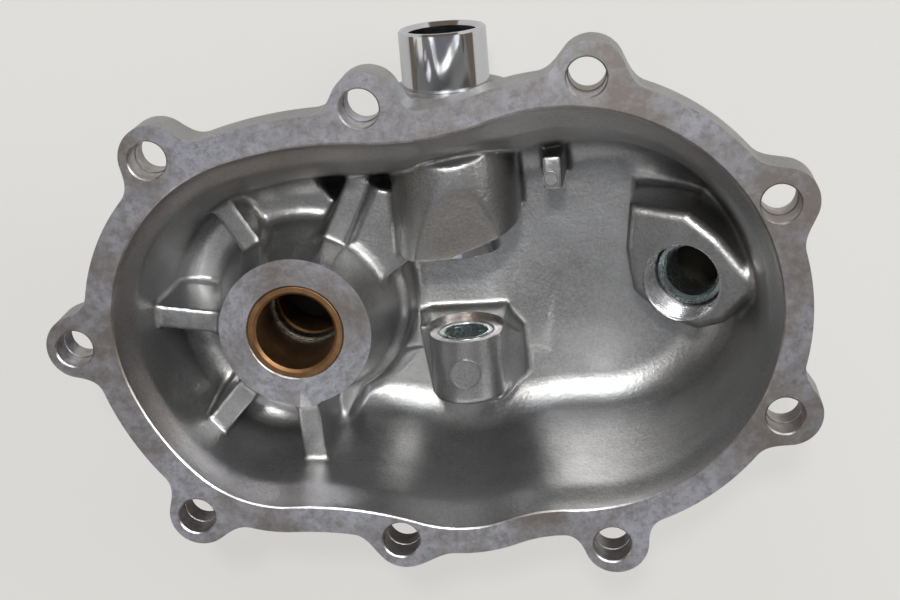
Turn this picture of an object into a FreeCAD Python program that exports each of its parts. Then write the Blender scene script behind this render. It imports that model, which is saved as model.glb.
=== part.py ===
import FreeCAD, Part
import math
import os
import Sketcher

# Die cast gear housing half: open side up (+Z), flange face on Z = 0.
# The main bore stands on the Z axis; the cross shaft runs along Y at X = shaft_x, Z = -shaft_depth.

V = FreeCAD.Vector
doc = FreeCAD.newDocument("gear_housing")
doc.addObject("Spreadsheet::Sheet", "Sizes")
sheet = doc.Sizes

# ---------------------------------------------------------------- driving sizes, mm and degrees
SIZES = {
    # cavity outline at the flange face: five circles joined by five blend arcs
    "left_x": 3.1, "left_y": 8.8, "left_radius": 42.1,
    "corner_x": -1.1, "corner_y": -7.4, "corner_radius": 30.1,
    "belly_x": 41.0, "belly_y": -11.8, "belly_radius": 32.8,
    "bowl_x": 69.3, "bowl_y": 8.7, "bowl_radius": 49.4,
    "crown_x": 19.6, "crown_y": 5.2, "crown_radius": 47.4,
    "flank_blend": 63.4, "sole_blend": 90.0, "belly_blend": 38.1,
    "crown_blend": 71.8, "shoulder_blend": 96.5,
    # flange and lugs
    "flange_width": 6.6, "flange_thickness": 12.0, "wall_thickness": 4.0,
    "lug_radius": 7.8, "lug_shift_x": 1.0, "lug_shift_y": 0.4, "lug_blend": 4.5,
    "lug_hole_diameter": 9.0,
    # cavity levels: depth, inset of the wall, shift of the whole level towards -Y (lean),
    # and outward shift of its two ends (spread), which keeps the end walls steep
    "rim_depth": 3.0, "rim_inset": 0.6, "rim_lean": 0.3, "rim_spread": 0.2,
    "shelf_depth": 10.0, "shelf_inset": 5.0, "shelf_lean": 2.5, "shelf_spread": 2.0,
    "waist_depth": 24.0, "waist_inset": 8.0, "waist_lean": 5.0, "waist_spread": 4.5,
    "heel_depth": 40.0, "heel_inset": 11.0, "heel_lean": 6.5, "heel_spread": 6.0,
    "round_depth": 50.5, "round_inset": 15.0, "round_lean": 6.5, "round_spread": 6.0,
    "floor_depth": 55.0, "floor_inset": 22.0, "floor_lean": 6.5, "floor_spread": 6.0,
    "left_floor_depth": 44.0, "left_floor_radius": 26.5,
    "seat_depth": 61.0, "seat_pad_radius": 22.0,
    # main bearing boss and its ribs
    "boss_face_depth": 22.0, "boss_radius": 19.25, "boss_draft": 12.0, "bore_chamfer": 0.4,
    "main_bore_diameter": 24.0, "hub_radius": 21.0,
    "rib_width": 5.0, "low_rib_depth": 34.0, "high_rib_depth": 23.0, "rib_ramp": 2.6,
    "bush_bore_diameter": 20.0, "bush_length": 22.0, "bush_chamfer": 0.7,
    "outer_bush_bore_diameter": 18.0, "outer_bush_recess": 0.5,
    "ring_bore_diameter": 18.6, "ring_length": 4.0,
    # cross shaft: steel guide tube, upper boss, lower boss with its needle bearing
    "shaft_x": 41.2, "shaft_depth": 38.0,
    "tube_diameter": 21.5, "tube_bore_diameter": 17.0, "tube_chamfer": 1.0,
    "tube_outer_end": 71.3, "tube_inner_end": 15.5,
    "sleeve_radius": 15.6, "sleeve_end": 16.0, "sleeve_hub_end": 57.0,
    "sleeve_cut_x": 52.7, "sleeve_cut_y": 25.5, "facet_start": 31.0, "facet_drop": 8.6,
    "sleeve_foot_top": 39.0, "sleeve_foot_end": 33.0, "sleeve_wall_end": 50.0,
    "column_radius": 9.3, "column_start": -24.0, "mouth_plane": -6.9, "spot_face_start": 12.0,
    "plinth_depth": 52.5, "block_depth": 43.0,
    "cutter_diameter": 20.4, "cup_diameter": 14.0, "cup_length": 12.0, "cup_wall": 0.6,
    "cup_lip_diameter": 11.2, "needle_diameter": 1.4, "needle_length": 8.6, "needle_play": 0.03,
    "cage_length": 10.2, "cage_wall": 0.7,
    # threaded side boss
    "port_x": 96.6, "port_y": 3.8, "port_depth": 36.0, "port_tilt": 16.0,
    "port_length": 22.2, "port_boss_length": 15.8, "port_hub_diameter": 25.0,
    "port_hole_diameter": 18.4, "port_mouth_diameter": 20.2, "port_drill_point": 8.0,
    "fitting_length": 13.0, "fitting_bore_diameter": 13.4, "fitting_chamfer": 0.8,
    "fitting_set_in": 9.0,
    # guide post
    "post_x": 66.3, "post_y": 34.8, "post_width": 5.4, "post_length": 8.6,
    "post_depth": 32.0, "post_draft": 1.5,
}
NEEDLES = 14
for row, (name, value) in enumerate(SIZES.items(), start=1):
    sheet.set("A%d" % row, name)
    sheet.set("B%d" % row, str(value))
    sheet.setAlias("B%d" % row, name)
doc.recompute()


class Size:
    """Reads a driving size back from the sheet by its name."""

    def __getattr__(self, name):
        return float(getattr(sheet, name))


s = Size()

# Bolt holes of the flange, in order round the part from the upper left lug.
LUG_HOLES = [
    (-25.05, 51.1), (25.2, 60.3), (76.55, 64.35), (118.4, 33.1), (118.5, -18.2),
    (76.7, -50.1), (25.35, -47.1), (-24.75, -39.0), (-49.1, 6.05),
]
# Corners of the raised floor round the lower shaft boss, and of the block that carries its bearing.
PLINTH_CORNERS = [(21, 5), (21, -17), (60, -18.5), (61, -2), (55, 9), (30, 9)]
BLOCK_CORNERS = [
    (31.0, 2.0), (31.0, -18.0), (51.5, -21.0), (56.0, -16.0), (56.0, -4.0), (50.5, 2.0),
]
# Corners of the side boss, measured from the axis of its port.
PORT_BOSS_CORNERS = [
    (-12.5, 19.0), (-13.5, 8.0), (-12.5, -3.0), (-6.0, -9.5), (3.0, -12.5),
    (10.0, -10.5), (16.5, -1.5), (16.0, 3.0), (9.0, 12.0), (0.0, 18.5),
]


# ---------------------------------------------------------------- cavity outline
def blend_centre(first, second, radius, convex):
    """Centre of the arc of a given radius that touches two circles."""
    x1, y1, r1 = first
    x2, y2, r2 = second
    d1 = radius - r1 if convex else radius + r1
    d2 = radius - r2 if convex else radius + r2
    span = math.hypot(x2 - x1, y2 - y1)
    along = (d1 * d1 - d2 * d2 + span * span) / (2 * span)
    aside = math.sqrt(d1 * d1 - along * along)
    ux, uy = (x2 - x1) / span, (y2 - y1) / span
    side = 1 if convex else -1
    return x1 + along * ux - side * aside * uy, y1 + along * uy + side * aside * ux


def outline_arcs(offset=0.0, lean=0.0, spread=0.0):
    """The cavity outline as arcs, moved outwards by offset, down in Y by lean, ends apart by spread."""
    circles = [
        (s.left_x - spread, s.left_y, s.left_radius),
        (s.corner_x - spread, s.corner_y, s.corner_radius),
        (s.belly_x, s.belly_y, s.belly_radius),
        (s.bowl_x + spread, s.bowl_y, s.bowl_radius),
        (s.crown_x - spread, s.crown_y, s.crown_radius),
    ]
    blends = [
        (s.flank_blend, True), (s.sole_blend, False), (s.belly_blend, False),
        (s.crown_blend, False), (s.shoulder_blend, True),
    ]
    count = len(circles)
    centres = []
    for i, (radius, convex) in enumerate(blends):
        centres.append(blend_centre(circles[i], circles[(i + 1) % count], radius, convex))

    def touch_angle(circle, blend):
        cx, cy = centres[blend]
        turn = 1 if blends[blend][1] else -1
        return math.atan2((circle[1] - cy) * turn, (circle[0] - cx) * turn)

    arcs = []
    for i, circle in enumerate(circles):
        start = touch_angle(circle, i - 1)
        end = touch_angle(circle, i)
        while end < start:
            end += 2 * math.pi
        arcs.append((circle[0], circle[1] - lean, circle[2] + offset, start, end))
        after = circles[(i + 1) % count]
        radius, convex = blends[i]
        cx, cy = centres[i]
        stop = touch_angle(after, i)
        if convex:
            while stop < end:
                stop += 2 * math.pi
            arcs.append((cx, cy - lean, radius + offset, end, stop))
        else:
            low, high = stop + math.pi, end + math.pi
            while low > high:
                low -= 2 * math.pi
            while high - low > math.pi:
                low += 2 * math.pi
            if low > high:
                low, high = high, low
            arcs.append((cx, cy - lean, radius - offset, low, high))
    return arcs


# ---------------------------------------------------------------- document helpers
def make_body(name):
    body = doc.addObject("PartDesign::Body", name)
    body.Label = name
    return body


def origin_plane(body, role):
    for feature in body.Origin.OriginFeatures:
        if feature.Role == role:
            return feature
    raise RuntimeError("no plane " + role)


def add_sketch(body, name, role="XY_Plane", level=None, turn=None):
    """A sketch on one of the body's planes; level is an expression for its offset."""
    sketch = body.newObject("Sketcher::SketchObject", name)
    sketch.AttachmentSupport = (origin_plane(body, role), [""])
    sketch.MapMode = "FlatFace"
    if turn is not None:
        sketch.AttachmentOffset = FreeCAD.Placement(V(0, 0, 0), turn)
    if level is not None:
        sketch.setExpression("AttachmentOffset.Base.z", level)
    return sketch


def draw_arcs(sketch, arcs):
    for cx, cy, radius, start, end in arcs:
        circle = Part.Circle(V(cx, cy, 0), V(0, 0, 1), radius)
        sketch.addGeometry(Part.ArcOfCircle(circle, start, end), False)


def draw_polygon(sketch, points):
    for first, second in zip(points, points[1:] + points[:1]):
        sketch.addGeometry(Part.LineSegment(V(first[0], first[1], 0), V(second[0], second[1], 0)), False)


def draw_circle(sketch, x, y, diameter, binding=None):
    index = sketch.addGeometry(Part.Circle(V(x, y, 0), V(0, 0, 1), diameter / 2), False)
    if binding:
        mark = sketch.addConstraint(Sketcher.Constraint("Diameter", index, diameter))
        sketch.setExpression("Constraints[%d]" % mark, binding)
    return index


def extrude(body, kind, name, sketch, length, reverse=False, both=False, taper=None):
    feature = body.newObject("PartDesign::" + kind, name)
    feature.Profile = sketch
    feature.setExpression("Length", length)
    feature.Reversed = reverse
    if both:
        feature.SideType = "Symmetric"
    if taper:
        feature.setExpression("TaperAngle", taper)
    sketch.Visibility = False
    return feature


def check(feature):
    doc.recompute()
    if "Invalid" in feature.State or "Error" in feature.State:
        raise RuntimeError("%s failed" % feature.Name)
    if feature.Shape.isNull() or not feature.Shape.isValid():
        raise RuntimeError("%s has no valid shape" % feature.Name)
    return feature


# ---------------------------------------------------------------- the casting
housing = make_body("housing")

flange_sketch = add_sketch(housing, "FlangeOutline")
draw_arcs(flange_sketch, outline_arcs(s.flange_width))
flange = check(extrude(housing, "Pad", "Flange", flange_sketch, "Sizes.flange_thickness", reverse=True))

lug_sketch = add_sketch(housing, "LugOutlines")
for hole_x, hole_y in LUG_HOLES:
    draw_circle(lug_sketch, hole_x + s.lug_shift_x, hole_y + s.lug_shift_y, 2 * s.lug_radius,
                "2 * Sizes.lug_radius")
lugs = check(extrude(housing, "Pad", "Lugs", lug_sketch, "Sizes.flange_thickness", reverse=True))


def lug_corner_edges(shape):
    """Names of the upright edges where a lug's round side meets the flange's side."""
    names = []
    for number, edge in enumerate(shape.Edges, start=1):
        if len(edge.Vertexes) < 2:
            continue
        first, last = edge.Vertexes[0].Point, edge.Vertexes[1].Point
        if abs(first.x - last.x) > 1e-4 or abs(first.y - last.y) > 1e-4:
            continue
        for hole_x, hole_y in LUG_HOLES:
            reach = math.hypot(first.x - hole_x - s.lug_shift_x, first.y - hole_y - s.lug_shift_y)
            if abs(reach - s.lug_radius) < 1e-3:
                names.append("Edge%d" % number)
    return names


corners = lug_corner_edges(lugs.Shape)
lug_fillet = housing.newObject("PartDesign::Fillet", "LugBlends")
lug_fillet.Base = (lugs, corners)
lug_fillet.setExpression("Radius", "Sizes.lug_blend")
check(lug_fillet)


# bowl: outside first, the cavity is taken out of it further down
LEVELS = ["rim", "shelf", "waist", "heel", "round", "floor"]


def level_sketch(body, label, level, depth, outwards):
    """One cavity level as a sketch, moved outwards by the wall for the outside."""
    inset = getattr(s, level + "_inset")
    lean = getattr(s, level + "_lean")
    spread = getattr(s, level + "_spread")
    sketch = add_sketch(body, label, level="-(%s)" % depth)
    draw_arcs(sketch, outline_arcs(outwards - inset, lean, spread))
    return sketch


def loft(body, kind, name, sketches):
    feature = body.newObject("PartDesign::" + kind, name)
    feature.Profile = sketches[0]
    feature.Sections = sketches[1:]
    feature.Ruled = True
    for sketch in sketches:
        sketch.Visibility = False
    return check(feature)


outside = []
for level in LEVELS:
    drop = "Sizes.wall_thickness" if level != "rim" else "0"
    depth = "Sizes.%s_depth + %s" % (level, drop)
    outside.append(level_sketch(housing, "Outside_" + level, level, depth, s.wall_thickness))
loft(housing, "AdditiveLoft", "BowlOutside", outside)

hub_sketch = add_sketch(housing, "HubOutline", level="-Sizes.seat_depth")
draw_circle(hub_sketch, 0, 0, 2 * s.hub_radius, "2 * Sizes.hub_radius")
check(extrude(housing, "Pad", "BearingHub", hub_sketch, "Sizes.seat_depth - Sizes.left_floor_depth"))

seat_sketch = add_sketch(housing, "SeatPadOutline", level="-Sizes.seat_depth")
draw_circle(seat_sketch, s.bowl_x, s.bowl_y - s.floor_lean, 2 * s.seat_pad_radius,
            "2 * Sizes.seat_pad_radius")
check(extrude(housing, "Pad", "SeatPad", seat_sketch, "Sizes.seat_depth - Sizes.floor_depth"))

sleeve_hub_sketch = add_sketch(housing, "SleeveHubOutline", "XZ_Plane", "-Sizes.sleeve_hub_end")
draw_circle(sleeve_hub_sketch, s.shaft_x, -s.shaft_depth, 2 * s.sleeve_radius, "2 * Sizes.sleeve_radius")
check(extrude(housing, "Pad", "SleeveHub", sleeve_hub_sketch, "Sizes.sleeve_hub_end - Sizes.facet_start"))

mouth = add_sketch(housing, "Cavity_mouth", level="0.5")
draw_arcs(mouth, outline_arcs(0.1))
levels = [mouth]
for level in LEVELS:
    levels.append(level_sketch(housing, "Cavity_" + level, level, "Sizes.%s_depth" % level, 0.0))
loft(housing, "SubtractiveLoft", "Cavity", levels)

# raised floor and main bearing boss
floor_sketch = add_sketch(housing, "LeftFloorOutline", level="-Sizes.left_floor_depth")
draw_circle(floor_sketch, 0, 0, 2 * s.left_floor_radius, "2 * Sizes.left_floor_radius")
check(extrude(housing, "Pad", "LeftFloor", floor_sketch,
              "Sizes.floor_depth + 1 - Sizes.left_floor_depth", reverse=True))

boss_sketch = add_sketch(housing, "BossFace", level="-Sizes.boss_face_depth")
draw_circle(boss_sketch, 0, 0, 2 * s.boss_radius, "2 * Sizes.boss_radius")
boss = extrude(housing, "Pad", "MainBoss", boss_sketch, "Sizes.round_depth - Sizes.boss_face_depth",
               reverse=True, taper="Sizes.boss_draft")
check(boss)

# radial ribs: (angle, reach, depth of the flat top, ramp up to the boss)
RIBS = [
    (120.0, 36.5, s.low_rib_depth, s.rib_ramp), (63.2, 39.5, s.low_rib_depth, s.rib_ramp),
    (171.0, 37.5, s.high_rib_depth, 0.0), (227.0, 35.5, s.high_rib_depth + 1.0, 0.0),
    (273.0, 36.8, s.high_rib_depth - 1.0, 0.0),
]
RIB_ROOT = 14.0
RIB_FOOT = 27.0
for number, (angle, reach, depth, ramp) in enumerate(RIBS, start=1):
    rib_sketch = add_sketch(housing, "RibProfile%d" % number, "XZ_Plane",
                            turn=FreeCAD.Rotation(V(0, 1, 0), angle))
    root_depth = min(depth, s.boss_face_depth + 2.0)
    edge = s.boss_radius + 0.4
    profile = [(RIB_ROOT, -root_depth), (edge, -root_depth)]
    if ramp:
        profile.append((edge + ramp, -depth))
    profile += [
        (reach, -depth), (reach, -depth - 5.0),
        (RIB_FOOT, -s.left_floor_depth - 1.5), (RIB_ROOT, -s.left_floor_depth - 1.5),
    ]
    draw_polygon(rib_sketch, profile)
    check(extrude(housing, "Pad", "Rib%d" % number, rib_sketch, "Sizes.rib_width", both=True))

# web between the main boss and the sleeve of the cross shaft
web_sketch = add_sketch(housing, "WebOutline", level="-Sizes.low_rib_depth - 2")
draw_polygon(web_sketch, [(6, 20), (17, 34), (30, 30), (30, 14), (18, 6)])
check(extrude(housing, "Pad", "Web", web_sketch, "Sizes.round_depth - Sizes.low_rib_depth", reverse=True))

# sleeve that carries the guide tube: a round boss on a foot, its free end cut on the skew
sleeve_sketch = add_sketch(housing, "SleeveProfile", "XZ_Plane", "-Sizes.sleeve_wall_end")
draw_circle(sleeve_sketch, s.shaft_x, -s.shaft_depth, 2 * s.sleeve_radius, "2 * Sizes.sleeve_radius")
check(extrude(housing, "Pad", "Sleeve", sleeve_sketch, "Sizes.sleeve_wall_end - Sizes.sleeve_end"))

foot_sketch = add_sketch(housing, "SleeveFootProfile", "YZ_Plane", "Sizes.shaft_x")
foot_depth = s.floor_depth + 0.5
draw_polygon(foot_sketch, [(s.sleeve_end, -s.shaft_depth), (s.sleeve_foot_top, -s.shaft_depth),
                           (s.sleeve_foot_end, -foot_depth), (s.sleeve_end, -foot_depth)])
check(extrude(housing, "Pad", "SleeveFoot", foot_sketch, "2 * Sizes.sleeve_radius", both=True))

skew_sketch = add_sketch(housing, "SleeveSkewCut", level="-Sizes.boss_face_depth + 2")
slope = (s.sleeve_cut_y - s.sleeve_end) / (s.sleeve_cut_x - s.shaft_x + s.sleeve_radius - 5)
skew_left, skew_right = s.shaft_x - s.sleeve_radius + 5, s.shaft_x + s.sleeve_radius + 2
draw_polygon(skew_sketch, [(skew_left, s.sleeve_end), (skew_left, s.sleeve_end - 2),
                           (skew_right, s.sleeve_end - 2),
                           (skew_right, s.sleeve_end + slope * (skew_right - skew_left))])
check(extrude(housing, "Pocket", "SleeveSkew", skew_sketch,
              "Sizes.floor_depth - 1 - Sizes.boss_face_depth + 2"))

facet_sketch = add_sketch(housing, "SleeveFacetCut", "YZ_Plane", "Sizes.shaft_x")
crown = s.sleeve_radius - s.shaft_depth
facet_slope = s.facet_drop / (s.facet_start - s.sleeve_end)
facet_end = s.sleeve_end - 3
facet_low = crown - facet_slope * (s.facet_start - facet_end)
draw_polygon(facet_sketch, [(s.facet_start, crown), (s.facet_start, crown + 2),
                            (facet_end, crown + 2), (facet_end, facet_low)])
check(extrude(housing, "Pocket", "SleeveFacet", facet_sketch, "2 * Sizes.sleeve_radius - 4", both=True))

# lower bearing: low plinth, square block, and the round column that holds the needle bearing
plinth_sketch = add_sketch(housing, "PlinthOutline", level="-Sizes.plinth_depth")
draw_polygon(plinth_sketch, PLINTH_CORNERS)
check(extrude(housing, "Pad", "Plinth", plinth_sketch, "Sizes.floor_depth + 1 - Sizes.plinth_depth",
              reverse=True))
block_sketch = add_sketch(housing, "BlockOutline", level="-Sizes.block_depth")
draw_polygon(block_sketch, BLOCK_CORNERS)
check(extrude(housing, "Pad", "Block", block_sketch, "Sizes.floor_depth + 1 - Sizes.block_depth",
              reverse=True))
column_sketch = add_sketch(housing, "ColumnProfile", "XZ_Plane", "-Sizes.mouth_plane")
arc = Part.Circle(V(s.shaft_x, -s.shaft_depth, 0), V(0, 0, 1), s.column_radius)
column_sketch.addGeometry(Part.ArcOfCircle(arc, 0, math.pi), False)
column_foot = -s.floor_depth - 1
left, right = s.shaft_x - s.column_radius, s.shaft_x + s.column_radius
column_corners = [(left, -s.shaft_depth), (left, column_foot), (right, column_foot),
                  (right, -s.shaft_depth)]
for start, stop in zip(column_corners, column_corners[1:]):
    column_sketch.addGeometry(Part.LineSegment(V(*start, 0), V(*stop, 0)), False)
check(extrude(housing, "Pad", "Column", column_sketch, "Sizes.mouth_plane - Sizes.column_start",
              reverse=False))

# guide post
post_sketch = add_sketch(housing, "PostOutline", level="-Sizes.post_depth")
half_x, half_y = s.post_width / 2, s.post_length / 2
draw_polygon(post_sketch, [(s.post_x - half_x, s.post_y - half_y), (s.post_x + half_x, s.post_y - half_y),
                           (s.post_x + half_x, s.post_y + half_y), (s.post_x - half_x, s.post_y + half_y)])
check(extrude(housing, "Pad", "Post", post_sketch, "Sizes.floor_depth + 0.2 - Sizes.post_depth",
              reverse=True, taper="Sizes.post_draft"))

# side boss with the threaded port, square to its own tilted axis
PORT_TURN = FreeCAD.Rotation(V(0, 1, 0), -s.port_tilt)


def port_sketch_at(name):
    sketch = add_sketch(housing, name)
    sketch.AttachmentOffset = FreeCAD.Placement(V(s.port_x, s.port_y, -s.port_depth), PORT_TURN)
    return sketch


port_sketch = port_sketch_at("PortBossOutline")
draw_polygon(port_sketch, PORT_BOSS_CORNERS)
check(extrude(housing, "Pad", "PortBoss", port_sketch, "Sizes.port_boss_length", reverse=True))
port_hub_sketch = port_sketch_at("PortHubOutline")
draw_circle(port_hub_sketch, 0, 0, s.port_hub_diameter, "Sizes.port_hub_diameter")
check(extrude(housing, "Pad", "PortHub", port_hub_sketch, "Sizes.port_length", reverse=True))

# ---------------------------------------------------------------- machining
bore_sketch = add_sketch(housing, "MainBoreOutline", level="-Sizes.boss_face_depth + 1")
draw_circle(bore_sketch, 0, 0, s.main_bore_diameter, "Sizes.main_bore_diameter")
check(extrude(housing, "Pocket", "MainBore", bore_sketch, "Sizes.seat_depth - Sizes.boss_face_depth + 2"))

tube_bore_sketch = add_sketch(housing, "TubeBoreOutline", "XZ_Plane", "-Sizes.sleeve_hub_end - 1")
draw_circle(tube_bore_sketch, s.shaft_x, -s.shaft_depth, s.tube_diameter, "Sizes.tube_diameter")
check(extrude(housing, "Pocket", "TubeBore", tube_bore_sketch,
              "Sizes.sleeve_hub_end + 1 - Sizes.spot_face_start", reverse=True))

cutter_sketch = add_sketch(housing, "SpotFaceOutline", "XZ_Plane",
                              "-Sizes.spot_face_start")
draw_circle(cutter_sketch, s.shaft_x, -s.shaft_depth, s.cutter_diameter, "Sizes.cutter_diameter")
check(extrude(housing, "Pocket", "SpotFace", cutter_sketch, "Sizes.spot_face_start - Sizes.mouth_plane",
              reverse=True))

cup_bore_sketch = add_sketch(housing, "CupBoreOutline", "XZ_Plane", "-Sizes.mouth_plane - 1")
draw_circle(cup_bore_sketch, s.shaft_x, -s.shaft_depth, s.cup_diameter, "Sizes.cup_diameter")
check(extrude(housing, "Pocket", "CupBore", cup_bore_sketch, "Sizes.cup_length + 1", reverse=True))

port_hole_sketch = port_sketch_at("PortHoleOutline")
draw_circle(port_hole_sketch, 0, 0, s.port_hole_diameter, "Sizes.port_hole_diameter")
check(extrude(housing, "Pocket", "PortHole", port_hole_sketch, "Sizes.port_length + Sizes.port_drill_point"))

lug_hole_sketch = add_sketch(housing, "LugHoleCentres")
for hole_x, hole_y in LUG_HOLES:
    draw_circle(lug_hole_sketch, hole_x, hole_y, s.lug_hole_diameter, "Sizes.lug_hole_diameter")
check(extrude(housing, "Pocket", "LugHoles", lug_hole_sketch, "Sizes.flange_thickness + 1"))


def chamfer_circles(name, size, wanted):
    """Chamfer the round edges whose centre and radius are in the wanted list."""
    before = housing.Tip
    names = []
    for number, edge in enumerate(before.Shape.Edges, start=1):
        if edge.Curve.TypeId != "Part::GeomCircle":
            continue
        for centre, radius in wanted:
            near = (edge.Curve.Center - centre).Length < 0.01
            if near and abs(edge.Curve.Radius - radius) < 0.01:
                names.append("Edge%d" % number)
    feature = housing.newObject("PartDesign::Chamfer", name)
    feature.Base = (before, names)
    feature.setExpression("Size", size)
    return check(feature)


port_centre = V(s.port_x, s.port_y, -s.port_depth)
chamfer_circles("MainBoreChamfer", "Sizes.bore_chamfer",
                [(V(0, 0, -s.boss_face_depth), s.main_bore_diameter / 2)])
chamfer_circles("PortChamfer", "(Sizes.port_mouth_diameter - Sizes.port_hole_diameter) / 2",
                [(port_centre, s.port_hole_diameter / 2)])
housing.setExpression("Placement.Base.z", "Sizes.boss_face_depth")


# ---------------------------------------------------------------- turned pieces
def turned(name, profile, place=None, base=None):
    """A turned piece: radius and height of each profile point are expressions on the sheet."""
    body = make_body(name)
    sketch = add_sketch(body, name + "_profile", "XZ_Plane")
    values = []
    for radius, height in profile:
        values.append((float(sheet.evalExpression(radius)), float(sheet.evalExpression(height))))
    draw_polygon(sketch, values)
    count = len(values)
    for index in range(count):
        sketch.addConstraint(Sketcher.Constraint("Coincident", index, 2, (index + 1) % count, 1))
    for index, (radius, height) in enumerate(profile):
        mark = sketch.addConstraint(Sketcher.Constraint("DistanceX", -1, 1, index, 1, values[index][0]))
        sketch.setExpression("Constraints[%d]" % mark, radius)
        if values[index][1] == 0:
            sketch.addConstraint(Sketcher.Constraint("PointOnObject", index, 1, -1))
        else:
            mark = sketch.addConstraint(Sketcher.Constraint("DistanceY", -1, 1, index, 1, values[index][1]))
            sketch.setExpression("Constraints[%d]" % mark, height)
    spin = body.newObject("PartDesign::Revolution", name + "_turned")
    spin.Profile = sketch
    spin.ReferenceAxis = (sketch, ["V_Axis"])
    spin.Angle = 360
    sketch.Visibility = False
    if place is not None:
        body.Placement = place
    base = dict(base or {})
    base["z"] = base.get("z", "0") + " + Sizes.boss_face_depth"
    for axis, expression in base.items():
        body.setExpression("Placement.Base." + axis, expression)
    check(spin)
    return body


def ring_profile(outer, inner, length, chamfer=None):
    """A plain ring standing on its end, its bore chamfered at the far end where asked."""
    points = [(inner, "0"), (outer, "0"), (outer, length)]
    if chamfer:
        points += [(inner + " + " + chamfer, length), (inner, length + " - " + chamfer)]
    else:
        points.append((inner, length))
    return points


BORE = "Sizes.main_bore_diameter / 2"
UPSIDE_DOWN = FreeCAD.Placement(V(0, 0, 0), FreeCAD.Rotation(V(1, 0, 0), 180))
turned("bush_inner", ring_profile(BORE, "Sizes.bush_bore_diameter / 2", "Sizes.bush_length"),
       base={"z": "-Sizes.boss_face_depth - Sizes.bush_length"})
turned("spacer_ring", ring_profile(BORE, "Sizes.ring_bore_diameter / 2", "Sizes.ring_length"),
       base={"z": "-Sizes.boss_face_depth - Sizes.bush_length - Sizes.ring_length"})
turned("bush_outer", ring_profile(
    BORE, "Sizes.outer_bush_bore_diameter / 2",
    "Sizes.seat_depth - Sizes.boss_face_depth - Sizes.outer_bush_recess - Sizes.bush_length"
    " - Sizes.ring_length", "Sizes.bush_chamfer"), UPSIDE_DOWN,
       {"z": "-Sizes.boss_face_depth - Sizes.bush_length - Sizes.ring_length"})

ALONG_SHAFT = FreeCAD.Placement(V(0, 0, 0), FreeCAD.Rotation(V(1, 0, 0), -90))
SHAFT = {"x": "Sizes.shaft_x", "z": "-Sizes.shaft_depth"}
TUBE_LENGTH = "Sizes.tube_outer_end - Sizes.tube_inner_end"
turned("guide_tube", ring_profile("Sizes.tube_diameter / 2", "Sizes.tube_bore_diameter / 2", TUBE_LENGTH,
                                    "Sizes.tube_chamfer"),
       ALONG_SHAFT, dict(SHAFT, y="Sizes.tube_inner_end"))

CUP_OUT = "Sizes.cup_diameter / 2"
CUP_IN = "Sizes.cup_diameter / 2 - Sizes.cup_wall"
CUP_LIP = "Sizes.cup_lip_diameter / 2"
CUP_TOP = "Sizes.cup_length - Sizes.cup_wall"
turned("needle_cup", [
    (CUP_LIP, "0"), (CUP_OUT, "0"), (CUP_OUT, "Sizes.cup_length"), (CUP_LIP, "Sizes.cup_length"),
    (CUP_LIP, CUP_TOP), (CUP_IN, CUP_TOP), (CUP_IN, "Sizes.cup_wall"), (CUP_LIP, "Sizes.cup_wall"),
], ALONG_SHAFT, dict(SHAFT, y="Sizes.mouth_plane - Sizes.cup_length"))

# needle cage: two rings joined by bars; the needles lie between the bars
PITCH = "(Sizes.cup_diameter / 2 - Sizes.cup_wall - Sizes.needle_play - Sizes.needle_diameter / 2)"
pitch_radius = s.cup_diameter / 2 - s.cup_wall - s.needle_play - s.needle_diameter / 2
cage_outer = PITCH + " + Sizes.cage_wall / 2"
cage_inner = PITCH + " - Sizes.cage_wall / 2"
cage = turned("needle_cage", [
    (cage_inner, "0"), (cage_outer, "0"), (cage_outer, "Sizes.cage_length"),
    (cage_inner, "Sizes.cage_length"),
], ALONG_SHAFT, dict(SHAFT, y="Sizes.mouth_plane - Sizes.cup_length / 2 - Sizes.cage_length / 2"))
slot_sketch = add_sketch(cage, "NeedleSlots", level="(Sizes.cage_length - Sizes.needle_length) / 2 - 0.1")
for index in range(NEEDLES):
    angle = 2 * math.pi * index / NEEDLES
    draw_circle(slot_sketch, pitch_radius * math.cos(angle), pitch_radius * math.sin(angle),
                s.needle_diameter + 2 * s.needle_play, "Sizes.needle_diameter + 2 * Sizes.needle_play")
check(extrude(cage, "Pocket", "NeedlePockets", slot_sketch, "Sizes.needle_length + 0.2", reverse=True))

needles = make_body("needle_rollers")
needle_sketch = add_sketch(needles, "NeedleOutlines")
for index in range(NEEDLES):
    angle = 2 * math.pi * index / NEEDLES
    draw_circle(needle_sketch, pitch_radius * math.cos(angle), pitch_radius * math.sin(angle),
                s.needle_diameter, "Sizes.needle_diameter")
needle_pad = extrude(needles, "Pad", "Needles", needle_sketch, "Sizes.needle_length")
if hasattr(needle_pad, "AllowMultiFace"):
    needle_pad.AllowMultiFace = True
needles.AllowCompound = True
needles.Placement = ALONG_SHAFT
needles.setExpression("Placement.Base.x", "Sizes.shaft_x")
needles.setExpression("Placement.Base.y",
                      "Sizes.mouth_plane - Sizes.cup_length / 2 - Sizes.needle_length / 2")
needles.setExpression("Placement.Base.z", "Sizes.boss_face_depth - Sizes.shaft_depth")
check(needle_pad)

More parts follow.
